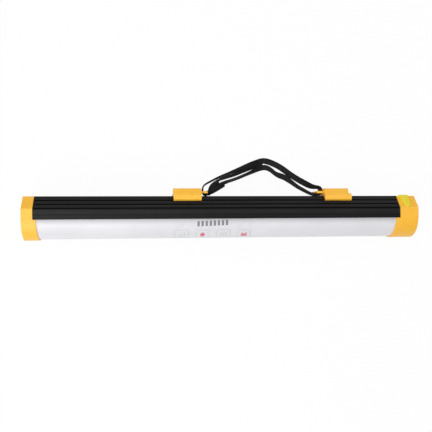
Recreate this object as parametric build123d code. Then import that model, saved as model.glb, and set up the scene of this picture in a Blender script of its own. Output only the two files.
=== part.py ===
"""Rechargeable LED tube work light, lying on its back flank.

X runs along the tube to its switch end, Y towards the top rail and the carry strap,
Z out of the front flank. The origin is on the surface that the lamp lies on, below the
middle of the lamp. Sections are drawn as (up, out): up is +Y from the centre of the
half-round diffuser, and out is +Z from the tube's middle plane. Millimetres.
"""
from build123d import *
import math
import os

# ---- overall ----
tube_length = 600.0
housing_half = 32.2       # middle plane to flank
flank_top = 13.4          # where the chamfer leaves the flank
rail_top = 32.0           # top flat
rail_half = 15.9          # half width of the top flat
lip_bottom = -2.0         # lower edge of the aluminium flanks
fit = 0.3                 # clearance between pieces that slide or drop in

# ---- housing extrusion ----
flank_wall = 2.2
chamfer_wall = 3.6
shelf_bottom = 1.0        # the shelf carries the LED board below and the cells above
shelf_thickness = 2.2
groove_first = 8.6        # down the chamfer from the top flat
groove_pitch = 7.75
groove_count = 3
groove_width = 2.0
groove_depth = 2.4
scribe_up = 2.9           # fine line along each flank
scribe_width = 0.8
scribe_depth = 0.5
lip_taper = 0.6           # flanks lean in by this much from the scribed line down to the lip
port_radius = 3.5         # screw ports run the length of the housing
port_upper_drop = 5.2     # upper pair, below the top flat
port_upper_out = 10.5
port_lower_rise = 3.1     # lower pair, above the shelf
port_lower_inset = 5.3    # and in from the flank

# ---- diffuser ----
diffuser_inset = 0.3      # inside the flanks
diffuser_wall = 1.9
tongue_wall = 1.6
bead = 0.5                # snap bead on the tongue

# ---- end caps ----
cap_proud = 1.3           # caps stand this far out of the flanks
cap_wall = 3.0
cap_end_wall = 3.2
left_cap_length = 16.3
right_cap_length = 29.3
cap_edge = 1.0            # rounding of the end rim
cap_corner = 1.6          # rounding along the chamfers' edges
spigot_length = 8.0
spigot_wall = 1.8
web_thickness = 2.4       # joins the spigot to the cap's skin at the rim
left_lip_top = 4.4        # lip over the diffuser, at its upper edge and at its lowest line
left_lip_bottom = 6.0
right_lip_top = 6.4
right_lip_bottom = 7.4
gasket_thickness = 0.8
gasket_inset = 0.4
gasket_width = 1.4

# ---- cap screws ----
screw_radius = 1.5
screw_head_radius = 2.9
screw_head_height = 2.0
screw_sink = 0.6          # head below the end face
screw_grip = 12.0         # thread in the port
screw_slack = 0.05        # hole over shank, on the radius
driver_radius = 1.2       # hexagon recess in the head
driver_depth = 1.2

# ---- strap clips ----
clip_length = 42.0
clip_wall = 2.8
clip_top = 11.7           # above the top flat
clip_crown_half = 18.2    # half width of the crown
clip_crown_chamfer = 1.3
clip_waist_up = 1.5       # widest line of the block above the top flat
clip_waist_out = 5.6      # and how far it stands out past the crown
clip_edge = 1.0
clip_left_face = -38.0    # inner ends, where the tabs stand out
clip_right_face = 153.5
clip_step_length = 4.0    # end step in the block
clip_step_up = 3.8        # its floor above the top flat
clip_tooth = 1.3          # how far the lip hooks into the first groove
tab_reach = 10.4
tab_up = 6.0              # middle of the tab above the top flat
tab_thickness = 3.2
tab_half_width = 14.0
slot_half_width = 5.4
slot_start = 0.9

# ---- carry strap ----
strap_radius = 1.6        # plain stand-in for 9.6 mm x 2.1 mm webbing
keeper_thickness = 6.6
keeper_width = 9.0

# ---- power button ----
button_from_end = 20.0
button_top_width = 17.0
button_bottom_width = 7.0
button_top_shift = 0.6    # middle of the top edge, along the tube
button_bottom_shift = 3.5
button_upper = 12.5       # edges measured along the chamfer from its middle
button_lower = -11.0
button_corner = 2.0
button_proud = 2.4
button_rounding = 0.9
button_flange_thickness = 1.2
button_flange = 1.0
flange_upper = 4.5        # flange stops this far short of the pad's upper edge
button_travel = 1.2
plunger_radius = 1.4
plunger_length = 3.6
switch_height = 5.0
switch_side = 9.0
switch_board_length = 22.0
switch_board_width = 16.0

# ---- charge port ----
port_up = -2.0
flap_height = 15.0
flap_width = 13.0
flap_thickness = 1.6
socket_width = 9.0
socket_height = 3.2
socket_depth = 7.4
charge_board_length = 20.0
charge_board_width = 20.0
charge_board_thickness = 1.2
rib_reach = 5.0           # rails in the cap that grip the small boards
rib_thickness = 1.5
rib_slack = 0.1

# ---- light engine and electronics ----
board_width = 38.0
board_thickness = 1.6
tape_thickness = 0.4
board_end_gap = 6.0
led_columns = 40
led_row_half = 9.0
led_long = 3.5
led_wide = 2.8
led_tall = 0.8
cell_radius = 9.2
cell_length = 65.0
cell_count = 3
cell_gap = 1.0
cells_inset = 20.9        # first cell, from the left end of the housing
cradle_wall = 1.4
cradle_width = 24.0
cradle_height = 7.0
driver_start = 30.0
driver_length = 110.0
driver_width = 34.0
standoff_height = 5.0
standoff_radius = 2.5
wire_radius = 0.8

# ---- info label ----
label_start = -78.0
label_end = 38.0
label_thickness = 0.15
label_gap = 0.1           # adhesive
label_upper = 6.0         # degrees below the horizontal
label_lower = 76.0

# ---- worked out ----
cap_half = housing_half + cap_proud
diffuser_radius = housing_half - diffuser_inset
clip_crown = rail_top + clip_top
axis_y = -(clip_crown - cap_half) / 2
axis_z = cap_half
half_length = tube_length / 2
left_rim = -half_length + left_cap_length
right_rim = half_length - right_cap_length
housing_start = left_rim + gasket_thickness
housing_end = right_rim - gasket_thickness
button_middle = half_length - button_from_end
cells_start = housing_start + cells_inset
slope = math.hypot(rail_top - flank_top, housing_half - rail_half)
normal_up = (housing_half - rail_half) / slope
normal_out = (rail_top - flank_top) / slope
chamfer_line = normal_up * rail_top + normal_out * rail_half
shelf_top = shelf_bottom + shelf_thickness
tab_level = rail_top + tab_up
bar_radius = tab_thickness / 2
bar_inset = tab_reach - bar_radius
lead_hole_x = driver_start - 12

os.makedirs("parts", exist_ok=True)


def section(x):
    """Plane across the tube at x, drawn in (up, out)."""
    return Plane(origin=(x, axis_y, axis_z), x_dir=(0, 1, 0), z_dir=(1, 0, 0))


def along(sketch, start, end):
    return extrude(section(start) * sketch, amount=end - start, dir=(1, 0, 0))


def place(x, up, out):
    return Vector(x, axis_y + up, axis_z + out)


def block(x_range, up_range, out_range):
    size = [abs(pair[1] - pair[0]) for pair in (x_range, up_range, out_range)]
    middle = [(pair[0] + pair[1]) / 2 for pair in (x_range, up_range, out_range)]
    return Pos(*place(*middle)) * Box(*size)


def rod(x_range, up, out, radius):
    return along(Pos(up, out) * Circle(radius), *x_range)


def shoulder(flank, chamfer, top):
    """Ends of the chamfer line for a section grown by these amounts."""
    line = chamfer_line + chamfer
    level = rail_top + top
    half = housing_half + flank
    return (level, (line - normal_up * level) / normal_out), ((line - normal_out * half) / normal_up, half)


def upper_section(flank, chamfer, top, bottom):
    """Flanks, chamfers and top flat, grown by the given amounts and closed at bottom."""
    high, low = shoulder(flank, chamfer, top)
    right = [high, low, (bottom, low[1])]
    left = [(up, -out) for up, out in reversed(right)]
    return Polygon(*right, *left, align=None)


def lower_half(radius, top):
    cut = Pos(top - radius, 0) * Rectangle(2 * radius, 4 * radius)
    return Circle(radius) & cut


def full_section(grow, top):
    """The whole D section: upper part and half round."""
    return upper_section(grow, grow, top, 0) + lower_half(housing_half + grow, 0.5)


def mirrored(points):
    return [(up, side * out) for up, out in points for side in (-1, 1)]


def save(name, *solids):
    parts = [solid for item in solids for solid in item.solids()]
    export_step(parts[0] if len(parts) == 1 else Compound(parts), f"parts/{name}.step")
    print(name, len(parts), "solid(s)", round(sum(part.volume for part in parts)), "mm3")


port_places = mirrored([(rail_top - port_upper_drop, port_upper_out),
                        (shelf_top + port_lower_rise, housing_half - port_lower_inset)])


# ---- housing ----
def groove_cut(side, distance):
    """Slot square to the chamfer, distance down it from the top flat."""
    up = rail_top - distance * normal_out
    out = rail_half + distance * normal_up
    tilt = math.degrees(math.atan2(side * normal_out, normal_up))
    return Pos(up, side * out) * Rot(0, 0, tilt) * Rectangle(2 * groove_depth, groove_width)


def lip_wedge(side):
    """Sliver off the outside of a flank, from the scribed line down to the lip."""
    points = [(scribe_up, side * housing_half), (lip_bottom - 1, side * (housing_half + 1)),
              (lip_bottom - 1, side * (housing_half - lip_taper)), (lip_bottom, side * (housing_half - lip_taper))]
    return Polygon(*(points if side > 0 else reversed(points)), align=None)


def lead_hole():
    """Hole for the LED leads through shelf and tape."""
    low = shelf_bottom - tape_thickness
    return Pos(*place(lead_hole_x, (low + shelf_top + 1) / 2, 0)) * Rot(90, 0, 0) * Cylinder(
        3 * wire_radius, shelf_top + 1 - low)


def make_housing():
    outline = upper_section(0, 0, 0, lip_bottom)
    chamber = upper_section(-flank_wall, -chamfer_wall, -flank_wall, shelf_top)
    lower_room = Pos((lip_bottom + shelf_bottom) / 2, 0) * Rectangle(
        shelf_bottom - lip_bottom, 2 * (housing_half - flank_wall))
    shape = outline - chamber - lower_room
    for up, out in port_places:
        shape += Pos(up, out) * Circle(port_radius) & outline
    for up, out in port_places:
        shape -= Pos(up, out) * Circle(screw_radius + screw_slack)
    for side in (-1, 1):
        for index in range(groove_count):
            shape -= groove_cut(side, groove_first + index * groove_pitch)
        shape -= Pos(scribe_up, side * housing_half) * Rectangle(scribe_width, 2 * scribe_depth)
        shape -= lip_wedge(side)
        shape -= Pos((lip_bottom + shelf_bottom) / 2, side * (housing_half - flank_wall)) * Rectangle(
            2 * bead, 2 * (bead + 0.1))
    body = along(shape, housing_start, housing_end)
    return body - lead_hole()


# ---- diffuser ----
def make_diffuser():
    top = lip_bottom - fit
    shell = lower_half(diffuser_radius, top) - Circle(diffuser_radius - diffuser_wall)
    tongue_out = housing_half - flank_wall - fit
    for side in (-1, 1):
        tongue = Pos((shelf_bottom - fit + top - 2) / 2, side * (tongue_out - tongue_wall / 2)) * Rectangle(
            shelf_bottom - fit - top + 2, tongue_wall)
        snap = Pos((lip_bottom + shelf_bottom) / 2, side * tongue_out) * Circle(bead)
        shell += tongue + snap
    return along(shell, housing_start, housing_end)


# ---- end caps ----
def cap_skin(rim, end, side):
    """Closed-ended cup with its mouth at rim."""
    shape = full_section(cap_proud, 0)
    shape = fillet([corner for corner in shape.vertices() if corner.X > flank_top - cap_edge], cap_corner)
    outer = along(shape, min(rim, end), max(rim, end))
    end_edges = outer.faces().sort_by(Axis.X)[0 if side < 0 else -1].edges()
    outer = fillet(end_edges, cap_edge)
    floor = end - side * cap_end_wall
    inner = along(full_section(cap_proud - cap_wall, -cap_wall), min(rim, floor), max(rim, floor))
    return outer - inner


def cap_lip(rim, side, top_reach, bottom_reach):
    """Half-round lip over the diffuser, its edge slanting from top_reach to bottom_reach."""
    top = lip_bottom - fit
    ring = lower_half(cap_half, top) - Circle(diffuser_radius + 0.2)
    far = rim - side * (bottom_reach + 2)
    lip = along(ring, min(rim, far), max(rim, far))
    rise = (bottom_reach - top_reach) / (cap_half + top)
    edge = [(rim - side * (top_reach - 3 * rise), axis_y + top + 3),
            (rim - side * (bottom_reach + 3 * rise), axis_y - cap_half - 3),
            (far - side * 5, axis_y - cap_half - 3), (far - side * 5, axis_y + top + 3)]
    cutter = extrude(Polygon(*edge, align=None), amount=3 * cap_half, dir=(0, 0, 1))
    return lip - cutter


def cap_spigot(rim, side):
    """Sleeve inside the housing chamber, clear of the screw ports, on a web behind the rim."""
    inner = upper_section(-flank_wall - fit - spigot_wall, -chamfer_wall - fit - spigot_wall,
                          -flank_wall - fit - spigot_wall, shelf_top + fit + spigot_wall)
    ring = upper_section(-flank_wall - fit, -chamfer_wall - fit, -flank_wall - fit, shelf_top + fit) - inner
    for up, out in port_places:
        ring -= Pos(up, out) * Circle(port_radius + fit)
    tip = rim - side * spigot_length
    back = rim + side * web_thickness
    web = upper_section(cap_proud - cap_wall / 2, cap_proud - cap_wall / 2, -cap_wall / 2, shelf_top + fit)
    web = web - inner
    return along(ring, min(tip, back), max(tip, back)) + along(web, min(rim, back), max(rim, back))


def drill_cap(cap, rim, end, side):
    """Screw towers between the end wall and the rim, drilled and counterbored."""
    floor = end - side * cap_end_wall
    for up, out in port_places:
        tower = rod((min(rim, floor), max(rim, floor)), up, out, port_radius)
        cap += tower & along(full_section(cap_proud - 0.1, -0.1), min(rim, floor), max(rim, floor))
    for up, out in port_places:
        cap -= rod((min(rim, end) - 1, max(rim, end) + 1), up, out, screw_radius + 0.2)
        seat = end - side * (screw_head_height + screw_sink)
        cap -= rod((min(seat, end), max(seat, end)), up, out, screw_head_radius + 0.2)
    return cap


def make_cap(rim, side, top_reach, bottom_reach):
    end = side * half_length
    cap = cap_skin(rim, end, side) + cap_lip(rim, side, top_reach, bottom_reach)
    cap += cap_spigot(rim, side)
    return drill_cap(cap, rim, end, side)


def make_gasket(rim, housing):
    """Flat ring between a cap's rim and the end of housing and diffuser."""
    outer = full_section(-gasket_inset, -gasket_inset)
    inner = full_section(-gasket_inset - gasket_width, -gasket_inset - gasket_width)
    return along(outer - inner, min(rim, housing), max(rim, housing))


def make_screws(end, side):
    screws = []
    for up, out in port_places:
        top = end - side * screw_sink
        seat = top - side * screw_head_height
        rim = left_rim if side < 0 else right_rim
        tip = rim - side * (gasket_thickness + screw_grip)
        head = rod((min(seat, top), max(seat, top)), up, out, screw_head_radius)
        shank = rod((min(tip, seat), max(tip, seat)), up, out, screw_radius)
        recess_floor = top - side * driver_depth
        recess = along(Pos(up, out) * RegularPolygon(driver_radius, 6),
                       min(recess_floor, top), max(recess_floor, top))
        screws.append(head + shank - recess)
    return screws


# ---- power button, on the upper front chamfer of the switch-end cap ----
button_normal = Vector(0, normal_up, normal_out)


def button_plane(depth):
    """Plane parallel to the cap's chamfer, depth above it; x along the tube, y up the slope."""
    high, low = shoulder(cap_proud, cap_proud, 0)
    middle = place(button_middle, (high[0] + low[0]) / 2, (high[1] + low[1]) / 2)
    return Plane(origin=middle + button_normal * depth, x_dir=(1, 0, 0), z_dir=button_normal)


def button_outline(grow, upper_grow):
    upper = button_upper + upper_grow
    lower = button_lower - grow
    half_top = button_top_width / 2 + grow
    half_bottom = button_bottom_width / 2 + grow
    shape = Polygon((button_bottom_shift - half_bottom, lower), (button_bottom_shift + half_bottom, lower),
                    (button_top_shift + half_top, upper), (button_top_shift - half_top, upper), align=None)
    return fillet(shape.vertices(), button_corner + max(grow, 0))


def button_slab(grow, upper_grow, low, high):
    return extrude(button_plane(low) * button_outline(grow, upper_grow), amount=high - low, dir=button_normal)


flange_high = -cap_wall - fit
flange_low = flange_high - button_flange_thickness
switch_top = flange_low - button_travel - fit
switch_board_top = switch_top - switch_height
switch_board_bottom = switch_board_top - board_thickness
switch_x = button_bottom_shift


def make_button():
    pad = button_slab(0, 0, flange_high, button_proud)
    rim_edges = pad.faces().sort_by(Axis((0, 0, 0), button_normal))[-1].edges()
    pad = fillet(rim_edges, button_rounding)
    return pad + button_slab(button_flange, -flange_upper, flange_low, flange_high)


def on_button(x, y, low, high, sketch):
    return extrude(button_plane(low) * (Pos(x, y) * sketch), amount=high - low, dir=button_normal)


def make_plunger():
    return on_button(switch_x, 0, flange_low - plunger_length, flange_low, Circle(plunger_radius))


def make_switch():
    body = on_button(switch_x, 0, switch_board_top, switch_top, Rectangle(switch_side, switch_side))
    return body - on_button(switch_x, 0, flange_low - plunger_length - button_travel - fit, switch_top,
                            Circle(plunger_radius + fit / 2))


def switch_board_middle():
    floor = half_length - cap_end_wall - fit
    return floor - switch_board_length / 2 - button_middle


def make_switch_board():
    return on_button(switch_board_middle(), 0, switch_board_bottom, switch_board_top,
                     Rectangle(switch_board_length, switch_board_width))


def board_ribs():
    """Pair of rails inside the end wall that grip the switch board's outer edge."""
    floor = half_length - cap_end_wall
    x = floor - rib_reach / 2 - button_middle + 0.1
    sheet = Rectangle(rib_reach + 0.2, 0.75 * switch_board_width)
    over = switch_board_top + rib_slack
    under = switch_board_bottom - rib_slack
    return (on_button(x, 0, over, over + rib_thickness, sheet)
            + on_button(x, 0, under - rib_thickness, under, sheet))


# ---- charge port, low on the switch-end face ----
recess_depth = flap_thickness + 0.3
hinge_x = half_length - flap_thickness / 2
hinge_up = port_up + flap_height / 2


def make_flap():
    radius = flap_thickness / 2
    low = port_up - flap_height / 2
    plate = block((half_length - flap_thickness, half_length), (low, hinge_up),
                  (-flap_width / 2, flap_width / 2))
    corners = plate.edges().filter_by(Axis.X).group_by(Axis.Y)[0]
    plate = fillet(corners, 2.0)
    root = Pos(*place(hinge_x, hinge_up, 0)) * Cylinder(radius, flap_width)
    notch = Pos(*place(half_length, low, 0)) * Cylinder(1.0, 5.0)
    return plate + root - notch


def flap_recess():
    low = port_up - flap_height / 2 - fit
    high = hinge_up + flap_thickness / 2 + fit
    return block((half_length - recess_depth, half_length + 1), (low, high),
                 (-flap_width / 2 - fit, flap_width / 2 + fit))


def socket_shape(grow):
    corner = socket_height / 2 + grow - 0.05
    return RectangleRounded(socket_height + 2 * grow, socket_width + 2 * grow, corner)


def make_socket():
    front = half_length - recess_depth
    shell = along(Pos(port_up, 0) * (socket_shape(0) - socket_shape(-0.4)), front - socket_depth, front)
    back = along(Pos(port_up, 0) * socket_shape(-0.4), front - socket_depth, front - socket_depth + 1.2)
    tongue = block((front - socket_depth + 1.2, front - 0.8), (port_up - 0.35, port_up + 0.35), (-3.2, 3.2))
    return shell + back + tongue


charge_board_top = port_up - socket_height / 2
charge_board_bottom = charge_board_top - charge_board_thickness
charge_board_end = half_length - cap_end_wall - fit


def make_charge_board():
    return block((charge_board_end - charge_board_length, charge_board_end),
                 (charge_board_bottom, charge_board_top),
                 (-charge_board_width / 2, charge_board_width / 2))


def charge_ribs():
    """Two pairs of rails inside the end wall that grip the charge board's edge."""
    floor = half_length - cap_end_wall
    levels = (charge_board_top + rib_slack, charge_board_bottom - rib_slack - rib_thickness)
    ribs = []
    for side in (-1, 1):
        for low in levels:
            ribs.append(block((floor - rib_reach, floor + 0.2), (low, low + rib_thickness),
                              (side * (socket_width / 2 + 2), side * (charge_board_width / 2 + 1.5))))
    return ribs


def make_right_cap():
    cap = make_cap(right_rim, 1, right_lip_top, right_lip_bottom)
    cap -= button_slab(fit, fit, flange_high - button_travel - fit, button_proud + 4)
    cap -= button_slab(button_flange + fit, fit - flange_upper, flange_low - button_travel - fit, -cap_wall)
    cap += board_ribs()
    for rib in charge_ribs():
        cap += rib
    cap -= flap_recess()
    mouth = half_length - recess_depth
    return cap - along(Pos(port_up, 0) * socket_shape(0.1), mouth - 3, mouth)


# ---- strap clips ----
def clip_profile():
    """Saddle section: crown block, two skirts down the chamfers and hooks in the first grooves."""
    reach = groove_first + groove_width / 2 - fit
    hook_up = rail_top - reach * normal_out
    hook_out = rail_half + reach * normal_up
    toe = (hook_up + fit * normal_up, hook_out + fit * normal_out)
    heel = (toe[0] + clip_wall * normal_up, toe[1] + clip_wall * normal_out)
    saddle = shoulder(fit, fit, fit)[0]
    half = [(clip_crown, clip_crown_half - clip_crown_chamfer),
            (clip_crown - clip_crown_chamfer, clip_crown_half),
            (rail_top + clip_waist_up, clip_crown_half + clip_waist_out), heel, toe, saddle]
    other = [(up, -out) for up, out in reversed(half)]
    return Polygon(*half, *other, align=None)


def clip_hook(side):
    """Tooth that reaches square into the first groove, with clearance all round."""
    distance = groove_first
    up = rail_top - distance * normal_out + (fit - clip_tooth) / 2 * normal_up
    out = rail_half + distance * normal_up + (fit - clip_tooth) / 2 * normal_out
    tilt = math.degrees(math.atan2(side * normal_out, normal_up))
    return Pos(up, side * out) * Rot(0, 0, tilt) * Rectangle(clip_tooth + fit + 0.2, groove_width - 2 * fit)


def make_clip(face, inward):
    """One clip with its inner end at face; inward is +1 where its tab points along +X."""
    outer_end = face - inward * clip_length
    start, end = min(face, outer_end), max(face, outer_end)
    body = along(clip_profile(), start, end)
    body = fillet(body.edges().filter_by(Axis.X).group_by(Axis.Y)[-1], clip_edge)
    for side in (-1, 1):
        body += along(clip_hook(side), start, end)
    body -= block((outer_end, outer_end + inward * clip_step_length),
                  (rail_top + clip_step_up, clip_crown + 1), (0, -inward * 40))
    tip = face + inward * bar_inset
    arm_band = (tab_level - bar_radius, tab_level + bar_radius)
    for side in (-1, 1):
        body += block((face - inward * 3, tip), arm_band, (side * slot_half_width, side * tab_half_width))
    body += block((face - inward * 3, face + inward * slot_start), arm_band, (-tab_half_width, tab_half_width))
    return body + Pos(*place(tip, tab_level, 0)) * Cylinder(bar_radius, 2 * tab_half_width)


# ---- carry strap: routes as (along the tube, up, above the surface it lies on) ----
main_route = [
    (-33.0, 40.5, 33.5), (-33.0, 46.0, 33.5), (-28.3, 50.4, 33.0), (-20.0, 54.9, 31.2),
    (-9.0, 60.1, 27.4), (5.5, 66.5, 22.0), (24.0, 74.7, 14.5), (43.0, 83.1, 8.6),
    (57.0, 88.4, 5.6), (65.5, 90.5, 4.5), (74.0, 90.2, 3.6), (81.5, 87.7, 3.1),
    (91.5, 82.2, 3.2), (100.5, 75.0, 4.6), (109.2, 67.4, 7.6), (119.2, 60.0, 12.8),
    (129.0, 53.7, 19.6), (136.6, 49.2, 26.0), (142.4, 46.4, 31.4), (148.5, 44.6, 33.5),
    (148.5, 34.2, 33.5), (139.5, 34.2, 33.2), (132.5, 36.7, 31.2), (126.4, 40.2, 28.0),
    (119.5, 45.5, 23.2), (112.8, 51.0, 18.2), (106.6, 55.8, 13.6), (100.4, 59.3, 9.8),
    (93.4, 63.5, 6.8), (86.2, 69.2, 4.8), (78.6, 74.5, 3.4), (70.2, 77.4, 3.0),
    (60.6, 76.5, 3.5), (49.6, 72.3, 5.0), (38.0, 67.5, 7.8), (23.0, 61.3, 13.0),
    (11.2, 57.3, 18.2), (3.9, 54.5, 22.4), (-2.5, 50.5, 25.4),
]
return_route = [
    (-33.0, 40.5, 33.5), (-33.0, 34.2, 33.5), (-25.4, 34.2, 33.5), (-25.0, 41.5, 33.4),
    (-21.4, 47.0, 33.0), (-15.3, 51.3, 31.2), (-7.0, 55.2, 27.6), (5.2, 60.1, 22.2),
    (16.4, 63.9, 17.0), (28.0, 68.7, 12.0), (40.0, 74.6, 8.2), (51.8, 80.3, 5.8),
    (62.5, 83.6, 4.4),
]
keeper_far = (-20.7, 39.1, 34.0)


def route_point(point):
    x, up, height = point
    return Vector(x, axis_y + up, height)


def make_strand(name, route):
    """Tube along straight runs joined by the largest tangent arcs that the runs allow."""
    points = [route_point(point) for point in route]
    radii = []
    for before, here, after in zip(points, points[1:], points[2:]):
        turn = math.radians((here - before).get_angle(after - here))
        shorter = min((here - before).length, (after - here).length)
        radii.append(0.45 * shorter / math.tan(turn / 2))
    path = FilletPolyline(*points, radius=radii)
    disc = Plane(origin=points[0], z_dir=points[1] - points[0]) * Circle(strap_radius)
    tube = sweep(disc, path=path)
    expected = math.pi * strap_radius ** 2 * path.length
    print(name, "length", round(path.length, 1), "volume over section x length",
          round(tube.volume / expected, 4), "radii", [round(radius, 1) for radius in radii])
    return tube


def make_keeper():
    """Folded and sewn bunch that ends the lower strand beside the left tab."""
    near, far = route_point(main_route[-1]), route_point(keeper_far)
    run = far - near
    plane = Plane(origin=near, x_dir=run.cross(Vector(0, 0, 1)), z_dir=run)
    return extrude(plane * RectangleRounded(keeper_thickness, keeper_width, 1.5), amount=run.length)


# ---- light engine ----
board_start = housing_start + board_end_gap
board_end = housing_end - board_end_gap
board_top = shelf_bottom - tape_thickness
board_bottom = board_top - board_thickness


def make_leds():
    pitch = (board_end - board_start) / led_columns
    leds = []
    for column in range(led_columns):
        x = board_start + (column + 0.5) * pitch
        for side in (-1, 1):
            out = side * led_row_half
            leds.append(block((x - led_long / 2, x + led_long / 2), (board_bottom - led_tall, board_bottom),
                              (out - led_wide / 2, out + led_wide / 2)))
    return leds


# ---- cells and driver, on the shelf ----
cell_up = shelf_top + cradle_wall + cell_radius
cells_end = cells_start + cell_count * cell_length + (cell_count - 1) * cell_gap


def make_cells():
    cells = []
    for index in range(cell_count):
        start = cells_start + index * (cell_length + cell_gap)
        can = rod((start, start + cell_length - 1.2), cell_up, 0, cell_radius)
        can += rod((start + cell_length - 1.2, start + cell_length + cell_gap * 0.6), cell_up, 0, 2.8)
        cells.append(can)
    return cells


def make_cradle():
    tray = block((cells_start - 2, cells_end + 3), (shelf_top, shelf_top + cradle_height),
                 (-cradle_width / 2, cradle_width / 2))
    return tray - rod((cells_start - 3, cells_end + 4), cell_up, 0, cell_radius + 0.15)


driver_level = shelf_top + standoff_height
driver_top = driver_level + board_thickness
driver_end = driver_start + driver_length


def make_standoffs():
    posts = []
    for x in (driver_start + 5, driver_end - 5):
        for side in (-1, 1):
            post = Pos(*place(x, shelf_top + standoff_height / 2, side * (driver_width / 2 - 4))) * Rot(
                90, 0, 0) * Cylinder(standoff_radius, standoff_height)
            posts.append(post)
    return posts


def make_components():
    """Coil, capacitors, chips and connectors: (start along the board, length, height, width, out)."""
    boxes = [(6, 9, 7, 11, -8), (20, 12, 6, 12, 4), (38, 5, 1.5, 4, -4), (48, 7, 2, 7, 5),
             (60, 6, 4, 10, -7), (72, 10, 3, 8, 4), (88, 5, 1.5, 5, -5), (98, 7, 6, 14, 4)]
    parts = []
    for start, length, height, width, out in boxes:
        parts.append(block((driver_start + start, driver_start + start + length),
                           (driver_top, driver_top + height), (out - width / 2, out + width / 2)))
    for start, out in ((34, 10), (84, 11)):
        parts.append(Pos(*place(driver_start + start, driver_top + 5.5, out)) * Rot(90, 0, 0) * Cylinder(4, 11))
    return parts


def make_wire(points):
    """Fixed lead as a tube with rounded corners."""
    places = [place(*point) for point in points]
    path = FilletPolyline(*places, radius=3 * wire_radius)
    disc = Plane(origin=places[0], z_dir=places[1] - places[0]) * Circle(wire_radius)
    return sweep(disc, path=path)


wire_level = shelf_top + wire_radius
lead_rise = driver_top + 3


def make_battery_leads():
    wires = []
    for out in (-8.0, -5.4):
        wires.append(make_wire([(cells_end + 3.2, wire_level, out), (driver_start - 5 + out, wire_level, out),
                                (driver_start - 5 + out, lead_rise, out), (driver_start + 6, lead_rise, out)]))
    return wires


def make_led_leads():
    wires = []
    for out in (-1.3, 1.3):
        wires.append(make_wire([(lead_hole_x, board_top, out), (lead_hole_x, lead_rise + 2, out),
                                (driver_start + 20, lead_rise + 2, out)]))
    return wires


def make_switch_leads():
    wires = []
    under_board = button_plane(switch_board_bottom - wire_radius)
    for shift in (-1.3, 1.3):
        target = under_board.from_local_coords((0, shift, 0)) - place(0, 0, 0)
        wires.append(make_wire([(driver_end - 5, driver_top + 3, 4 + shift),
                                (driver_end + 20, driver_top + 3, 4 + shift),
                                (driver_end + 60, target.Y, target.Z), (target.X, target.Y, target.Z)]))
    return wires


# ---- info label ----
def make_label():
    outer = diffuser_radius + label_gap + label_thickness
    ring = Circle(outer) - Circle(outer - label_thickness)
    middle = math.radians((label_upper + label_lower) / 2)
    spread = math.radians((label_lower - label_upper) / 2)
    far = 2 * outer
    wedge = Polygon((0, 0), (-far * math.sin(middle - spread), far * math.cos(middle - spread)),
                    (-far * math.sin(middle), far * math.cos(middle)),
                    (-far * math.sin(middle + spread), far * math.cos(middle + spread)), align=None)
    return along(ring & wedge, label_start, label_end)


save("housing_extrusion", make_housing())
save("diffuser", make_diffuser())
save("left_end_cap", make_cap(left_rim, -1, left_lip_top, left_lip_bottom))
save("right_end_cap", make_right_cap())
save("left_cap_gasket", make_gasket(left_rim, housing_start))
save("right_cap_gasket", make_gasket(right_rim, housing_end))
save("left_cap_screws", *make_screws(-half_length, -1))
save("right_cap_screws", *make_screws(half_length, 1))
save("left_strap_clip", make_clip(clip_left_face, 1))
save("right_strap_clip", make_clip(clip_right_face, -1))
save("carry_strap_main", make_strand("main strand", main_route))
save("carry_strap_return", make_strand("return strand", return_route))
save("strap_keeper", make_keeper())
save("power_button", make_button())
save("switch_plunger", make_plunger())
save("power_switch", make_switch())
save("switch_board", make_switch_board())
save("charge_port_flap", make_flap())
save("charge_socket", make_socket())
save("charge_board", make_charge_board())
save("thermal_tape", block((board_start, board_end), (board_top, shelf_bottom),
                           (-board_width / 2, board_width / 2)) - lead_hole())
save("led_board", block((board_start, board_end), (board_bottom, board_top),
                        (-board_width / 2, board_width / 2)))
save("leds", *make_leds())
save("battery_cells", *make_cells())
save("battery_cradle", make_cradle())
save("driver_standoffs", *make_standoffs())
save("driver_board", block((driver_start, driver_end), (driver_level, driver_top),
                           (-driver_width / 2, driver_width / 2)))
save("driver_components", *make_components())
save("battery_leads", *make_battery_leads())
save("led_leads", *make_led_leads())
save("switch_leads", *make_switch_leads())
save("info_label", make_label())
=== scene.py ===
import math
import bmesh
import bpy
from mathutils import Matrix, Vector


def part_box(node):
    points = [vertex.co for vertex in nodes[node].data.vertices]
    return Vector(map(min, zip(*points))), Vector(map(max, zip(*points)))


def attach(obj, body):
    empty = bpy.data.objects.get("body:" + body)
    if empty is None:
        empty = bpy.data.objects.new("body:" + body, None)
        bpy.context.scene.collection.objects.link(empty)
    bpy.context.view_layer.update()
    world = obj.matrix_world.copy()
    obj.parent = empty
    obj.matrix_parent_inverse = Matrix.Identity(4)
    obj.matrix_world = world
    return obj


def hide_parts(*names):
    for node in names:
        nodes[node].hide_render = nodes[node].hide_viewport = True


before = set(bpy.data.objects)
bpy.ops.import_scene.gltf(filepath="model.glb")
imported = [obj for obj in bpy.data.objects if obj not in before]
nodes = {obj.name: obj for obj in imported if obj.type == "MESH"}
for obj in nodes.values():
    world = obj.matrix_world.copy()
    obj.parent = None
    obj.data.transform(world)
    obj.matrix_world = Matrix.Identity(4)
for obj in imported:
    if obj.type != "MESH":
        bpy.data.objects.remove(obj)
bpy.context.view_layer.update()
mm = 0.001
print("frame loaded:", len(nodes), "nodes")

# heights are measured up from the middle of the half-round diffuser, and out of the front flank from it
diffuserLow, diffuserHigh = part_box("diffuser")
axisOut = (diffuserLow.z + diffuserHigh.z) / 2
axisUp = -5.1 * mm                                   # the diffuser's middle line in the frame
lensRadius = axisUp - diffuserLow.y


def onFloor(along, up, height):  # millimetres along the tube, up to the strap and above the floor it lies on
    return Vector((along * mm, axisUp + up * mm, height * mm))


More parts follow.
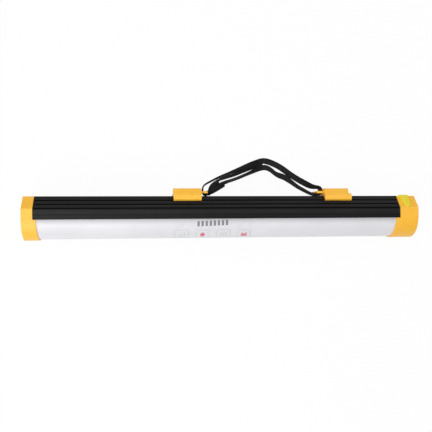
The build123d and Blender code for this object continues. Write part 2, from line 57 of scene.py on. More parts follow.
# nearly straight above the lamp, a little to the left of its middle
cameraPlan = {"place": (-0.1278, -0.0034, 0.9540), "turn": -0.1235, "roll": -0.0056, "lens": 50}

cameraData = bpy.data.cameras.new("camera")
cameraData.lens = cameraPlan["lens"]
cameraData.sensor_width = 36
camera = bpy.data.objects.new("camera", cameraData)
bpy.context.scene.collection.objects.link(camera)
camera.matrix_world = (Matrix.Translation(cameraPlan["place"]) @ Matrix.Rotation(cameraPlan["turn"], 4, "Y")
                       @ Matrix.Rotation(cameraPlan["roll"], 4, "Z"))
bpy.context.scene.camera = camera
bpy.context.scene.view_settings.view_transform = "Standard"
print("camera set")


def toLinear(hexText):
    values = [int(hexText[i:i + 2], 16) / 255 for i in (1, 3, 5)]
    return tuple(v / 12.92 if v <= 0.04045 else ((v + 0.055) / 1.055) ** 2.4 for v in values) + (1,)


def addNode(tree, kind, sockets=None, **settings):  # a node with its settings, its values and its links
    node = tree.nodes.new(kind)
    for key, value in settings.items():
        setattr(node, key, value)
    for socket, value in (sockets or {}).items():
        if isinstance(value, bpy.types.NodeSocket):
            tree.links.new(value, node.inputs[socket])
        else:
            node.inputs[socket].default_value = value
    return node


def blendColours(tree, amount, first, second):  # two sRGB hex colours, or sockets, mixed by a socket
    pair = [toLinear(colour) if isinstance(colour, str) else colour for colour in (first, second)]
    return addNode(tree, "ShaderNodeMix", {0: amount, 6: pair[0], 7: pair[1]}, data_type="RGBA").outputs[2]


def remap(tree, value, low, high, toLow, toHigh):
    return addNode(tree, "ShaderNodeMapRange", {"Value": value, "From Min": low, "From Max": high,
                                                "To Min": toLow, "To Max": toHigh}).outputs[0]


def compute(tree, operation, *values):
    return addNode(tree, "ShaderNodeMath", dict(enumerate(values)), operation=operation).outputs[0]


def startMaterial(name, **sockets):
    material = bpy.data.materials.new(name)
    material.use_nodes = True
    tree = material.node_tree
    tree.nodes.clear()
    values = {key.replace("_", " "): value for key, value in sockets.items()}
    shader = addNode(tree, "ShaderNodeBsdfPrincipled", values)
    addNode(tree, "ShaderNodeOutputMaterial", {"Surface": shader.outputs[0]})
    where = addNode(tree, "ShaderNodeTexCoord")
    return material, tree, shader, where


def grainNoise(tree, vector, size, detail=2.0, roughness=0.5, stretch=None):  # grain of that size in millimetres
    if stretch:
        vector = addNode(tree, "ShaderNodeMapping", {"Vector": vector, "Scale": stretch}).outputs[0]
    return addNode(tree, "ShaderNodeTexNoise", {"Vector": vector, "Scale": 1 / (size * mm), "Detail": detail,
                                                "Roughness": roughness}).outputs[0]


def raiseSurface(tree, shader, height, distance, strength=1.0, below=None):  # bump of that depth in millimetres
    sockets = {"Height": height, "Distance": distance * mm, "Strength": strength}
    if below:
        sockets["Normal"] = below
    bump = addNode(tree, "ShaderNodeBump", sockets).outputs[0]
    tree.links.new(bump, shader.inputs["Normal"])
    return bump


# black anodised aluminium, extruded then bead blasted: a dry dark grey with faint die lines along it
def makeAnodised():
    material, tree, shader, where = startMaterial("black anodised aluminium", Metallic=0.2, Roughness=0.44)
    shader.inputs["Specular IOR Level"].default_value = 0.24
    lines = grainNoise(tree, where.outputs["Object"], 0.9, 3, 0.6, (0.004, 1, 1))  # die lines, drawn 0.9 mm apart
    blast = grainNoise(tree, where.outputs["Object"], 0.5, 2, 0.6)                  # blasted grain
    cloud = grainNoise(tree, where.outputs["Object"], 70, 2, 0.5)                   # uneven dye
    tone = blendColours(tree, remap(tree, lines, 0.35, 0.65, 0, 1), "#060607", "#131314")
    broad = grainNoise(tree, where.outputs["Object"], 3.2, 2, 0.6, (0.002, 1, 1))   # wider rubbed bands along it
    banded = blendColours(tree, remap(tree, broad, 0.45, 0.7, 0, 1), tone, "#242423")
    colour = blendColours(tree, remap(tree, cloud, 0.4, 0.65, 0, 0.5), banded, "#131314")
    tree.links.new(colour, shader.inputs["Base Color"])
    tree.links.new(remap(tree, lines, 0.3, 0.7, 0.40, 0.54), shader.inputs["Roughness"])
    below = raiseSurface(tree, shader, blast, 0.02, 0.35)
    raiseSurface(tree, shader, lines, 0.03, 0.3, below)
    return material


def paintLipShade(tree, where, tone):  # painted shade: greyer towards the top edge, standing in for the shade under the aluminium lip
    level = addNode(tree, "ShaderNodeSeparateXYZ", {"Vector": where.outputs["Object"]}).outputs["Y"]
    # mask of the painted shade, rising towards the top edge under the lip
    lipShadeMask = remap(tree, level, axisUp - 12 * mm, axisUp - 2 * mm, 0, 1)
    return blendColours(tree, compute(tree, "POWER", lipShadeMask, 1.6), tone, "#aeadb2")


# opal polycarbonate, extruded: milky, softly glossy, light sinks in a little
def makeOpal():
    material, tree, shader, where = startMaterial("opal polycarbonate", Roughness=0.38, IOR=1.58)
    shader.inputs["Subsurface Weight"].default_value = 0.25
    shader.inputs["Subsurface Radius"].default_value = (1.0, 0.95, 0.9)
    shader.inputs["Subsurface Scale"].default_value = 3 * mm
    lines = grainNoise(tree, where.outputs["Object"], 2.2, 2, 0.5, (0.006, 1, 1))   # extrusion streaks
    cloud = grainNoise(tree, where.outputs["Object"], 45, 2, 0.5)
    tone = blendColours(tree, remap(tree, cloud, 0.4, 0.6, 0, 1), "#e4e3e7", "#e0dfe3")
    # painted shade under the aluminium lip, greyer towards the top edge
    tree.links.new(paintLipShade(tree, where, tone), shader.inputs["Base Color"])
    tree.links.new(remap(tree, lines, 0.3, 0.7, 0.36, 0.46), shader.inputs["Roughness"])
    raiseSurface(tree, shader, lines, 0.02, 0.25)
    return material


# injection moulded ABS, amber, with a fine spark-eroded texture
def makeAmberAbs():
    material, tree, shader, where = startMaterial("amber moulded ABS", Roughness=0.42, IOR=1.54)
    grain = grainNoise(tree, where.outputs["Object"], 0.45, 3, 0.6)                  # spark texture, drawn at 0.45 mm
    flow = grainNoise(tree, where.outputs["Object"], 14, 3, 0.6)                     # flow marks
    tone = blendColours(tree, remap(tree, flow, 0.35, 0.65, 0, 1), "#febd33", "#ffc540")
    colour = blendColours(tree, remap(tree, grain, 0.35, 0.62, 0, 0.4), tone, "#fbb32b")
    tree.links.new(colour, shader.inputs["Base Color"])
    tree.links.new(remap(tree, grain, 0.3, 0.7, 0.37, 0.5), shader.inputs["Roughness"])
    raiseSurface(tree, shader, grain, 0.05, 0.35)
    return material


# soft-touch thermoplastic rubber, lime, over the switch
def makeLimeRubber():
    material, tree, shader, where = startMaterial("lime soft rubber", Roughness=0.62)
    grain = grainNoise(tree, where.outputs["Object"], 0.4, 2, 0.6)
    cloud = grainNoise(tree, where.outputs["Object"], 6, 2, 0.5)
    colour = blendColours(tree, remap(tree, cloud, 0.35, 0.65, 0, 1), "#e8d62c", "#f2dc34")
    tree.links.new(colour, shader.inputs["Base Color"])
    tree.links.new(remap(tree, grain, 0.3, 0.7, 0.56, 0.7), shader.inputs["Roughness"])
    raiseSurface(tree, shader, grain, 0.03, 0.3)
    return material


# a plain moulded or cast part with a fine grain: two tones, their grain size, and how rough it is
def makeGrained(name, first, second, grainSize, roughness, metallic=0.0, depth=0.02):
    material, tree, shader, where = startMaterial(name, Roughness=roughness, Metallic=metallic)
    grain = grainNoise(tree, where.outputs["Object"], grainSize, 3, 0.55)
    colour = blendColours(tree, remap(tree, grain, 0.35, 0.65, 0, 1), first, second)
    tree.links.new(colour, shader.inputs["Base Color"])
    tree.links.new(remap(tree, grain, 0.3, 0.7, roughness - 0.07, roughness + 0.07), shader.inputs["Roughness"])
    raiseSurface(tree, shader, grain, depth, 0.4)
    return material


# printed circuit board: solder mask over copper tracks
def makeBoard(name, mask, track, edge):
    material, tree, shader, where = startMaterial(name, Roughness=0.35)
    tracks = addNode(tree, "ShaderNodeTexBrick", {"Vector": where.outputs["Object"], "Scale": 1.0,
                                                  "Mortar Size": 0.35 * mm, "Brick Width": 9 * mm,
                                                  "Row Height": 2.5 * mm})
    pads = addNode(tree, "ShaderNodeTexVoronoi", {"Vector": where.outputs["Object"], "Scale": 1 / (3 * mm)})
    tone = blendColours(tree, tracks.outputs["Fac"], mask, track)
    colour = blendColours(tree, remap(tree, pads.outputs["Distance"], 0.12, 0.16, 1, 0), tone, edge)
    tree.links.new(colour, shader.inputs["Base Color"])
    raiseSurface(tree, shader, tracks.outputs["Fac"], 0.03, 0.4)
    return material


# woven polyester webbing, black: ribs slant across it, and the middle is painted lighter than the bound edges as a
# painted highlight
# ribs are drawn 2.2 mm apart and warp threads 0.8 mm apart, coarser than the cloth's own, so that they show
webbing = {"width": 9.6, "thick": 2.1, "rib": 2.2, "warp": 0.8, "slant": 0.8}


def makeWebbing():
    material, tree, shader, where = startMaterial("woven polyester webbing", Roughness=0.7)
    shader.inputs["Specular IOR Level"].default_value = 0.3
    shader.inputs["Sheen Weight"].default_value = 0.06
    shader.inputs["Sheen Roughness"].default_value = 0.4
    flat = addNode(tree, "ShaderNodeSeparateXYZ", {"Vector": where.outputs["UV"]})   # millimetres along and across
    away = compute(tree, "ABSOLUTE", compute(tree, "SUBTRACT", flat.outputs["Y"], webbing["width"] / 2))
    slant = compute(tree, "MULTIPLY_ADD", away, webbing["slant"], flat.outputs["X"])
    rib = compute(tree, "SINE", compute(tree, "MULTIPLY", slant, 2 * math.pi / webbing["rib"]))    # chevron ribs
    warp = compute(tree, "SINE", compute(tree, "MULTIPLY", flat.outputs["Y"], 2 * math.pi / webbing["warp"]))
    fuzz = grainNoise(tree, where.outputs["Object"], 0.5, 3, 0.7)
    tone = blendColours(tree, remap(tree, rib, -0.6, 0.9, 0, 1), "#040404", "#101011")
    # painted highlight: the middle of the webbing is lighter than its edges
    centre = blendColours(tree, remap(tree, away, 1.4, 3.4, 0.4, 0), tone, "#1b1b1d")
    colour = blendColours(tree, remap(tree, fuzz, 0.45, 0.75, 0, 0.3), centre, "#161617")
    tree.links.new(colour, shader.inputs["Base Color"])
    weave = compute(tree, "MULTIPLY_ADD", warp, 0.4, rib)
    raiseSurface(tree, shader, remap(tree, weave, -1.4, 1.4, 0, 1), 0.22, 0.7)
    return material


# black bonded polyester sewing thread: twisted plies
def makeThread():
    material, tree, shader, where = startMaterial("bonded polyester thread", Roughness=0.5)
    plies = addNode(tree, "ShaderNodeTexWave", {"Vector": where.outputs["Object"], "Scale": 1 / (2.2 * mm),
                                                "Distortion": 0.5}, bands_direction="DIAGONAL")
    tree.links.new(blendColours(tree, plies.outputs["Fac"], "#171719", "#333337"), shader.inputs["Base Color"])
    raiseSurface(tree, shader, plies.outputs["Fac"], 0.05, 0.5)
    return material


# printed polyester film, gloss over matt ink
def makeFilm(name, first, second, clear=False):
    material, tree, shader, where = startMaterial(name, Roughness=0.36, IOR=1.6)
    cloud = grainNoise(tree, where.outputs["Object"], 8, 2, 0.5)
    dots = grainNoise(tree, where.outputs["Object"], 0.5, 1, 0.5)
    tone = blendColours(tree, remap(tree, cloud, 0.4, 0.6, 0, 1), first, second)
    # with the flag set, the film gets the same painted shade under the aluminium lip
    tree.links.new(paintLipShade(tree, where, tone) if clear else tone, shader.inputs["Base Color"])
    tree.links.new(remap(tree, dots, 0.3, 0.7, 0.3, 0.44), shader.inputs["Roughness"])
    raiseSurface(tree, shader, dots, 0.01, 0.2)
    return material


anodised = makeAnodised()
opal = makeOpal()
amberAbs = makeAmberAbs()
limeRubber = makeLimeRubber()
webbingCloth = makeWebbing()
sewingThread = makeThread()
# the label film takes the painted shade under the aluminium lip
labelFilm = makeFilm("clear-backed polyester film", "#e1e0e4", "#dddce0", True)
greyInk = makeFilm("grey label ink", "#7d7b80", "#8a878c")
paleInk = makeFilm("pale grey-green label ink", "#c3cdc9", "#b6c4be")
redInk = makeFilm("red label ink", "#cf5a6b", "#d86d7c")

nodeFinishes = {
    anodised: ["housing_extrusion"],
    opal: ["diffuser"],
    labelFilm: ["info_label"],
    amberAbs: ["left_end_cap", "right_end_cap", "left_strap_clip", "right_strap_clip"],
    limeRubber: ["power_button", "charge_port_flap"],
    makeGrained("black silicone gasket", "#17181a", "#202124", 1.5, 0.6): ["left_cap_gasket", "right_cap_gasket"],
    makeGrained("zinc plated steel", "#b9bcc0", "#9fa3a8", 0.8, 0.3, 1.0): ["left_cap_screws", "right_cap_screws"],
    makeGrained("black glass-filled nylon", "#141516", "#222326", 0.7, 0.5):
        ["battery_cradle", "power_switch", "switch_plunger", "driver_standoffs"],
    makeGrained("nickel plated brass", "#c9bf9e", "#b3a67d", 0.9, 0.3, 1.0): ["charge_socket"],
    makeBoard("green circuit board", "#14502c", "#1d6b3c", "#b9a25a"):
        ["driver_board", "switch_board", "charge_board"],
    makeBoard("white aluminium-core board", "#e9e9e6", "#dcdcd8", "#c9c4b0"): ["led_board"],
    makeGrained("yellow phosphor over white LED package", "#e6c832", "#f0e6b4", 1.4, 0.35): ["leds"],
    makeGrained("grey thermal gap tape", "#8d9196", "#7b7f85", 1.1, 0.8): ["thermal_tape"],
    makeGrained("blue shrink sleeve on the cells", "#1f4e9a", "#2a5dae", 9, 0.32): ["battery_cells"],
    makeGrained("dark epoxy and ferrite components", "#1b1b1d", "#4a4338", 6, 0.45): ["driver_components"],
    makeGrained("red PVC wire sleeve", "#a8211f", "#b92a27", 2.5, 0.4): ["battery_leads"],
    makeGrained("white PVC wire sleeve", "#d9d9d6", "#e6e6e3", 2.5, 0.4): ["led_leads", "switch_leads"],
}
for finish, names in nodeFinishes.items():
    for name in names:
        data = nodes[name].data
        for index in range(max(1, len(data.materials))):
            if index < len(data.materials):
                data.materials[index] = finish
            else:
                data.materials.append(finish)
print("materials on the frame")


def newPiece(name, mesh, *finishes):
    piece = bpy.data.objects.new(name, mesh)
    bpy.context.scene.collection.objects.link(piece)
    for finish in finishes:
        mesh.materials.append(finish)
    return piece


def settle(piece):  # modifiers become plain mesh, and the modifiers go
    bpy.context.view_layer.update()
    flat = bpy.data.meshes.new_from_object(piece.evaluated_get(bpy.context.evaluated_depsgraph_get()))
    piece.modifiers.clear()
    piece.data = flat
    return piece


def readSpline(points, steps):  # points along a smooth NURBS line with these control points
    curve = bpy.data.curves.new("route", "CURVE")
    curve.dimensions = "3D"
    curve.resolution_u = steps
    spline = curve.splines.new("NURBS")
    spline.points.add(len(points) - 1)
    for point, place in zip(spline.points, points):
        point.co = (*place, 1)
    spline.order_u = 3
    spline.use_endpoint_u = True
    holder = bpy.data.objects.new("route", curve)
    mesh = bpy.data.meshes.new_from_object(holder)
    line = [vertex.co.copy() for vertex in mesh.vertices]
    bpy.data.meshes.remove(mesh)
    bpy.data.objects.remove(holder)
    return line


# the carry strap's points: along the tube, up, height above the floor,
# and how far the webbing stands on its edge, in degrees
mainRoute = [
    (-34.2, 40.5, 33.5, 90), (-34.4, 46.2, 33.5, 88), (-30.0, 50.8, 33.0, 84), (-20.0, 56.0, 31.2, 82),
    (-9.0, 61.6, 27.4, 78), (5.5, 67.3, 22.0, 72), (24.0, 75.0, 14.5, 62), (43.0, 83.6, 9.0, 56),
    (57.0, 88.4, 6.4, 46), (65.5, 90.2, 4.2, 24), (74.0, 89.4, 2.6, 10), (81.5, 86.8, 2.2, 6),
    (91.5, 82.2, 2.6, 5), (100.5, 76.2, 4.0, 5), (109.2, 68.8, 7.4, 5), (119.2, 61.2, 12.8, 7),
    (129.0, 54.4, 19.6, 14), (137.0, 49.0, 26.8, 34), (142.8, 46.8, 32.4, 58), (149.2, 46.0, 35.4, 66),
    (152.4, 43.4, 36.2, 76), (151.2, 34.6, 35.2, 74), (139.5, 34.8, 33.6, 60), (132.5, 38.4, 31.2, 54),
    (126.4, 42.2, 28.0, 50), (119.5, 46.8, 23.2, 46), (112.8, 52.6, 18.2, 40), (106.6, 58.4, 13.6, 26),
    (100.4, 63.2, 10.8, 12), (93.4, 65.7, 9.0, 14), (86.2, 69.0, 7.6, 42), (78.6, 75.8, 6.6, 36),
    (70.2, 79.8, 6.2, 20), (60.6, 77.8, 6.6, 38), (49.6, 72.5, 7.4, 58), (38.0, 67.5, 9.2, 66),
    (23.0, 61.2, 13.4, 68), (11.2, 57.2, 18.4, 66), (3.9, 55.0, 22.4, 62), (-2.5, 52.2, 25.4, 58),
]
returnRoute = [
    (-34.2, 40.5, 33.5, 90), (-34.0, 34.2, 33.5, 84), (-25.4, 34.0, 33.5, 84), (-24.9, 41.5, 33.4, 82),
    (-22.0, 48.6, 33.0, 80), (-15.3, 54.0, 31.2, 80), (-7.0, 58.2, 27.6, 78), (5.2, 62.4, 22.2, 72),
    (16.4, 66.1, 17.0, 66), (28.0, 70.8, 12.4, 62), (40.0, 76.2, 9.2, 56), (52.4, 81.2, 7.4, 44),
    (65.5, 83.2, 6.4, 24),
]


def followRoute(route):
    line = readSpline([onFloor(*point[:3]) for point in route], 10)
    lean = [math.radians(point.x * 100) for point in readSpline([(point[3] / 100, 0, 0) for point in route], 10)]
    return line, lean


def ribbonFrames(line, lean):  # across and through the webbing at each point
    across, through = [], []
    for index, place in enumerate(line):
        ahead = (line[min(index + 1, len(line) - 1)] - line[max(index - 1, 0)]).normalized()
        side = Vector((0, 0, 1)).cross(ahead).normalized()
        rise = ahead.cross(side)
        width = side * math.cos(lean[index]) + rise * math.sin(lean[index])
        across.append(width)
        through.append(ahead.cross(width))
    return across, through


def makeRibbon(name, line, lean, finish):
    half, thick = webbing["width"] / 2, webbing["thick"] / 2
    outline = [(-half, 0), (-half + 0.2, 0.7), (-half + 0.8, 1), (-half + 1.4, 0.86), (0, 0.92),
               (half - 1.4, 0.86), (half - 0.8, 1), (half - 0.2, 0.7), (half, 0)]
    ring = [(w, t * thick) for w, t in outline] + [(w, -t * thick) for w, t in reversed(outline[1:-1])]
    across, through = ribbonFrames(line, lean)
    mesh = bpy.data.meshes.new(name)
    build = bmesh.new()
    sheetMap = build.loops.layers.uv.new("webbing")
    rings, travelled = [], [0.0]
    for index, place in enumerate(line):
        if index:
            travelled.append(travelled[-1] + (place - line[index - 1]).length / mm)
        rings.append([build.verts.new(place + across[index] * w * mm + through[index] * t * mm) for w, t in ring])
    count = len(ring)
    for index in range(len(line) - 1):
        for corner in range(count):
            after = (corner + 1) % count
            face = build.faces.new((rings[index][corner], rings[index + 1][corner],
                                    rings[index + 1][after], rings[index][after]))
            face.smooth = True
            spots = [(index, corner), (index + 1, corner), (index + 1, after), (index, after)]
            for loop, (step, spot) in zip(face.loops, spots):
                loop[sheetMap].uv = (travelled[step], ring[spot][0] + half)
    build.faces.new(rings[0])
    build.faces.new(list(reversed(rings[-1])))
    bmesh.ops.recalc_face_normals(build, faces=build.faces)
    build.to_mesh(mesh)
    build.free()
    return newPiece(name, mesh, finish)


def lengthOf(line):
    return sum((b - a).length for a, b in zip(line, line[1:]))


mainLine, mainLean = followRoute(mainRoute)
returnLine, returnLean = followRoute(returnRoute)
mainStrap = makeRibbon("carry_strap_webbing", mainLine, mainLean, webbingCloth)
returnStrap = makeRibbon("carry_strap_doubled_end", returnLine, returnLean, webbingCloth)
for piece, node in ((mainStrap, "carry_strap_main"), (returnStrap, "carry_strap_return")):
    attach(piece, "left_clip")
    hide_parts(node)
print("strap lengths", round(lengthOf(mainLine), 4), round(lengthOf(returnLine), 4))

# the end of the webbing is folded over itself beside the left tab and sewn down, with a short tail
foldRoute = [(-2.5, 52.4, 25.4, 58), (-8.0, 48.6, 28.0, 52), (-14.0, 44.4, 30.8, 46), (-20.0, 40.4, 33.6, 44),
             (-25.6, 37.4, 36.0, 50), (-26.8, 36.6, 38.6, 60), (-22.8, 38.0, 39.6, 50), (-15.0, 42.4, 37.4, 42),
             (-8.0, 46.6, 34.4, 40), (0.0, 51.4, 31.0, 38)]
innerRoute = [(-23.2, 40.4, 39.8, 54), (-20.0, 44.6, 39.2, 44), (-15.0, 48.8, 37.4, 42), (-9.0, 52.4, 34.8, 46)]
foldLine, foldLean = followRoute(foldRoute)
innerLine, innerLean = followRoute(innerRoute)
strapFold = makeRibbon("strap_folded_end", foldLine, foldLean, webbingCloth)
strapInner = makeRibbon("strap_inner_fold", innerLine, innerLean, webbingCloth)
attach(strapFold, "left_clip")
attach(strapInner, "left_clip")
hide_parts("strap_keeper")



def makeStitchTree():  # short thread strands laid end to end along every edge line of the piece
    tree = bpy.data.node_groups.new("stitches", "GeometryNodeTree")
    for name, kind in (("Geometry", "Geometry"), ("Pitch", "Float"), ("Thread", "Float"), ("Seed", "Int")):
        tree.interface.new_socket(name, in_out="INPUT", socket_type="NodeSocket" + kind)
    tree.interface.new_socket("Geometry", in_out="OUTPUT", socket_type="NodeSocketGeometry")
    given = addNode(tree, "NodeGroupInput").outputs
    seam = addNode(tree, "GeometryNodeMeshToCurve", {"Mesh": given["Geometry"]}).outputs[0]
    spaced = addNode(tree, "GeometryNodeResampleCurve", {"Curve": seam, "Length": given["Pitch"]}, mode="LENGTH")
    ahead = addNode(tree, "GeometryNodeInputTangent").outputs[0]
    aligned = addNode(tree, "FunctionNodeAlignRotationToVector", {"Vector": ahead}, axis="X").outputs[0]
    wobble = addNode(tree, "FunctionNodeRandomValue", {0: (-0.12, -0.12, -0.12), 1: (0.12, 0.12, 0.12),
                                                       "Seed": given["Seed"]}, data_type="FLOAT_VECTOR").outputs[0]
    turned = addNode(tree, "FunctionNodeRotateRotation", {"Rotation": aligned, "Rotate By": wobble}).outputs[0]
    bead = addNode(tree, "GeometryNodeMeshUVSphere", {"Segments": 8, "Rings": 5, "Radius": 1.0}).outputs[0]
    along = compute(tree, "MULTIPLY", given["Pitch"], 0.46)
    size = addNode(tree, "ShaderNodeCombineXYZ", {"X": along, "Y": given["Thread"], "Z": given["Thread"]}).outputs[0]
    laid = addNode(tree, "GeometryNodeInstanceOnPoints", {"Points": spaced.outputs[0], "Instance": bead,
                                                          "Rotation": turned, "Scale": size}).outputs[0]
    solid = addNode(tree, "GeometryNodeRealizeInstances", {"Geometry": laid}).outputs[0]
    painted = addNode(tree, "GeometryNodeSetMaterial", {"Geometry": solid, "Material": sewingThread}).outputs[0]
    addNode(tree, "NodeGroupOutput", {"Geometry": painted})
    return tree


def seamPoints(line, lean, seam):  # a zigzag sewn across the webbing's face, in millimetres along and across
    across, through = ribbonFrames(line, lean)
    travelled = [0.0]
    for a, b in zip(line, line[1:]):
        travelled.append(travelled[-1] + (b - a).length / mm)
    points = []
    for step in range(seam["turns"] * 2 + 1):
        reach = seam["start"] + (seam["stop"] - seam["start"]) * step / (seam["turns"] * 2)
        index = max(i for i, t in enumerate(travelled) if t <= reach)
        after = min(index + 1, len(line) - 1)
        part = (reach - travelled[index]) / max(travelled[after] - travelled[index], 0.001)
        middle = line[index].lerp(line[after], min(part, 1))
        swing = seam["swing"] * (1 if step % 2 else -1)
        lift = seam["side"] * (webbing["thick"] / 2 + 0.05)
        points.append(middle + across[index] * swing * mm + through[index] * lift * mm)
    return points


seams = [
    {"on": (mainLine, mainLean), "start": 112, "stop": 124, "turns": 9, "swing": 3.4, "side": 1},
    {"on": (mainLine, mainLean), "start": 352, "stop": 364, "turns": 9, "swing": 3.4, "side": 1},
    {"on": (foldLine, foldLean), "start": 3, "stop": 22, "turns": 12, "swing": 3.4, "side": 1},
    {"on": (foldLine, foldLean), "start": 38, "stop": 54, "turns": 10, "swing": 3.4, "side": 1},
    {"on": (innerLine, innerLean), "start": 2, "stop": 10, "turns": 6, "swing": 3.4, "side": 1},
]
seamMesh = bpy.data.meshes.new("strap_stitches")
seamVerts, seamEdges = [], []
for seam in seams:
    spots = seamPoints(*seam["on"], seam)
    seamEdges += [(len(seamVerts) + i, len(seamVerts) + i + 1) for i in range(len(spots) - 1)]
    seamVerts += spots
seamMesh.from_pydata(seamVerts, seamEdges, [])
stitches = newPiece("strap_stitches", seamMesh)
sewing = stitches.modifiers.new("sewing", "NODES")
sewing.node_group = makeStitchTree()
sewingValues = {"Pitch": 1.5 * mm, "Thread": 0.28 * mm, "Seed": 4}
for item in sewing.node_group.interface.items_tree:
    if item.in_out == "INPUT" and item.name in sewingValues:
        sewing[item.identifier] = sewingValues[item.name]
settle(stitches)
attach(stitches, "left_clip")
print("strap and", len(stitches.data.polygons), "stitch faces")

# printing on the label, laid out in millimetres along the tube
# and round the diffuser, measured down from its front line
printRadius = lensRadius / mm + 0.25   # the film's own face
printing = {
    "heading": {"from": -45.2, "pitch": 6.1, "bars": 8, "width": 3.4, "top": 5.8, "bottom": 14.1, "rise": 0.042},
    "boxes": {"centres": (-68.0, -36.5, -5.0, 26.7), "half": 10.0, "top": 20.4, "bottom": 41.5,
              "corner": 2.4, "line": 0.7},
}


def onLens(along, down, lift):
    angle = down / printRadius
    out = printRadius + lift
    return Vector((along * mm, axisUp - math.sin(angle) * out * mm, (axisOut / mm + math.cos(angle) * out) * mm))


def inkLine(build, points, width, closed=False):  # a flat printed line, raised 0.05 mm from the film
    count = len(points)
    rails = []
    for index, point in enumerate(points):
        before = points[(index - 1) % count] if closed or index else point
        after = points[(index + 1) % count] if closed or index < count - 1 else point
        ahead = Vector((after[0] - before[0], after[1] - before[1])).normalized()
        side = Vector((-ahead.y, ahead.x)) * width / 2
        rails.append([build.verts.new(onLens(point[0] + side.x * way, point[1] + side.y * way, lift))
                      for way, lift in ((-1, 0.05), (1, 0.05), (1, -0.04), (-1, -0.04))])
    for index in range(count if closed else count - 1):
        first, second = rails[index], rails[(index + 1) % count]
        for corner in range(4):
            after = (corner + 1) % 4
            build.faces.new((first[corner], first[after], second[after], second[corner]))
    if not closed:
        build.faces.new(rails[0][::-1])
        build.faces.new(rails[-1])


def ringPoints(along, down, radius, count=28):
    return [(along + radius * math.cos(2 * math.pi * i / count), down + radius * math.sin(2 * math.pi * i / count))
            for i in range(count)]


def boxPoints(left, right, top, bottom, corner):
    points = []
    for along, down, start in ((right - corner, bottom - corner, 0), (left + corner, bottom - corner, 90),
                               (left + corner, top + corner, 180), (right - corner, top + corner, 270)):
        for step in range(5):
            angle = math.radians(start + 22.5 * step)
            points.append((along + corner * math.cos(angle), down + corner * math.sin(angle)))
    filled = []
    for point, after in zip(points, points[1:] + points[:1]):  # long sides are split so that they follow the curve
        pieces = max(1, round(math.dist(point, after) / 1.5))
        filled += [(point[0] + (after[0] - point[0]) * i / pieces, point[1] + (after[1] - point[1]) * i / pieces)
                   for i in range(pieces)]
    return filled


def upright(along, top, bottom, pieces=8):
    return [(along, top + (bottom - top) * i / pieces) for i in range(pieces + 1)]


def makePrint(name, lines, finish):
    mesh = bpy.data.meshes.new(name)
    build = bmesh.new()
    for points, width, closed in lines:
        inkLine(build, points, width, closed)
    bmesh.ops.recalc_face_normals(build, faces=build.faces)
    build.to_mesh(mesh)
    build.free()
    piece = newPiece(name, mesh, finish)
    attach(piece, "lamp")
    return piece


head = printing["heading"]
headLines = []
for index in range(head["bars"]):
    place = head["from"] + head["width"] / 2 + index * head["pitch"]
    drop = -head["rise"] * index * head["pitch"]
    headLines.append((upright(place, head["top"] + drop, head["bottom"] + drop), head["width"], False))
boxes = printing["boxes"]
middle = (boxes["top"] + boxes["bottom"]) / 2
frames = [(boxPoints(centre - boxes["half"], centre + boxes["half"], boxes["top"], boxes["bottom"], boxes["corner"]),
           boxes["line"], True) for centre in boxes["centres"]]
first, second, third, fourth = boxes["centres"]
bars = [(upright(first + shift, middle - 5 + tall, middle + 5), 1.5, False)
        for shift, tall in ((-4, 4), (0, 2), (4, 0))]
greenMarks = [(ringPoints(third, middle, 5.4, 36), 0.9, True), (ringPoints(third, middle, 1.8), 1.2, True)]
redMarks = [(upright(second, middle - 3.4, middle + 5.2), 6.4, False),
            (upright(second, middle - 5.4, middle - 4.0, 2), 2.6, False),
            (upright(fourth, middle - 1.2, middle + 4.6), 9.0, False)]
redMarks += [(upright(fourth + shift, middle - 4.2, middle - 1.8, 2), 2.4, False) for shift in (-2.6, 2.6)]
makePrint("label_heading_bars", headLines, greyInk)
makePrint("label_frames", frames + bars, paleInk)
makePrint("label_green_marks", greenMarks, paleInk)
makePrint("label_red_marks", redMarks, redInk)
print("label printed")

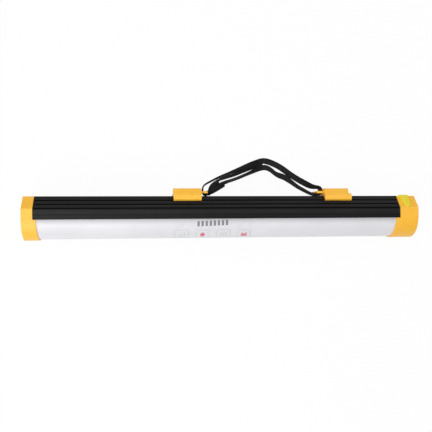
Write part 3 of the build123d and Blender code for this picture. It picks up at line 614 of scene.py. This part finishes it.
# pale floor that looks white to the camera and still takes the lamp's shadow
floorPlan = {"half": 6.0, "drop": 0.0002, "colour": "#f4f4f4", "whiteShare": 0.95}
floorMesh = bpy.data.meshes.new("floor")
half = floorPlan["half"]
floorMesh.from_pydata([(-half, -half, 0), (half, -half, 0), (half, half, 0), (-half, half, 0)], [], [(0, 1, 2, 3)])
floorPaint = bpy.data.materials.new("pale studio floor")
floorPaint.use_nodes = True
tree = floorPaint.node_tree
tree.nodes.clear()
ray = addNode(tree, "ShaderNodeLightPath")
seen = compute(tree, "MAXIMUM", ray.outputs["Is Camera Ray"], ray.outputs["Is Glossy Ray"])
seen = compute(tree, "MAXIMUM", seen, ray.outputs["Is Transmission Ray"])
share = compute(tree, "MULTIPLY", seen, floorPlan["whiteShare"])
paint = addNode(tree, "ShaderNodeBsdfDiffuse", {"Color": toLinear(floorPlan["colour"])})
glow = addNode(tree, "ShaderNodeEmission", {"Color": (1, 1, 1, 1), "Strength": 1.0})
floorMix = addNode(tree, "ShaderNodeMixShader", {0: share, 1: paint.outputs[0], 2: glow.outputs[0]})
addNode(tree, "ShaderNodeOutputMaterial", {"Surface": floorMix.outputs[0]})
floor = newPiece("floor", floorMesh, floorPaint)
floor.location.z = -floorPlan["drop"]

worldPlan = {"strength": 0.42, "seen": 1.0}
world = bpy.data.worlds.new("studio")
bpy.context.scene.world = world
world.use_nodes = True
tree = world.node_tree
tree.nodes.clear()
ray = addNode(tree, "ShaderNodeLightPath")
seen = compute(tree, "MAXIMUM", ray.outputs["Is Camera Ray"], ray.outputs["Is Transmission Ray"])
level = remap(tree, seen, 0, 1, worldPlan["strength"], worldPlan["seen"])
sky = addNode(tree, "ShaderNodeBackground", {"Color": (1, 1, 1, 1), "Strength": level})
addNode(tree, "ShaderNodeOutputWorld", {"Surface": sky.outputs[0]})

lamps = {  # place, size, watts, aimed at
    "key": ((-0.75, -0.1, 1.5), 1.0, 8.5, (-0.05, 0, 0)),
    "low": ((-0.7, -0.9, 1.0), 0.7, 8.0, (-0.2, -0.03, 0)),
    "fill": ((0.6, 0.9, 1.3), 1.0, 7.2, (0.08, 0, 0)),
}
for name, (place, size, watts, target) in lamps.items():
    light = bpy.data.lights.new(name, "AREA")
    light.shape = "SQUARE"
    light.size = size
    light.energy = watts
    lamp = bpy.data.objects.new(name, light)
    bpy.context.scene.collection.objects.link(lamp)
    lamp.location = place
    lamp.rotation_euler = (Vector(target) - Vector(place)).to_track_quat("-Z", "Y").to_euler()
print("stage and lamps ready")
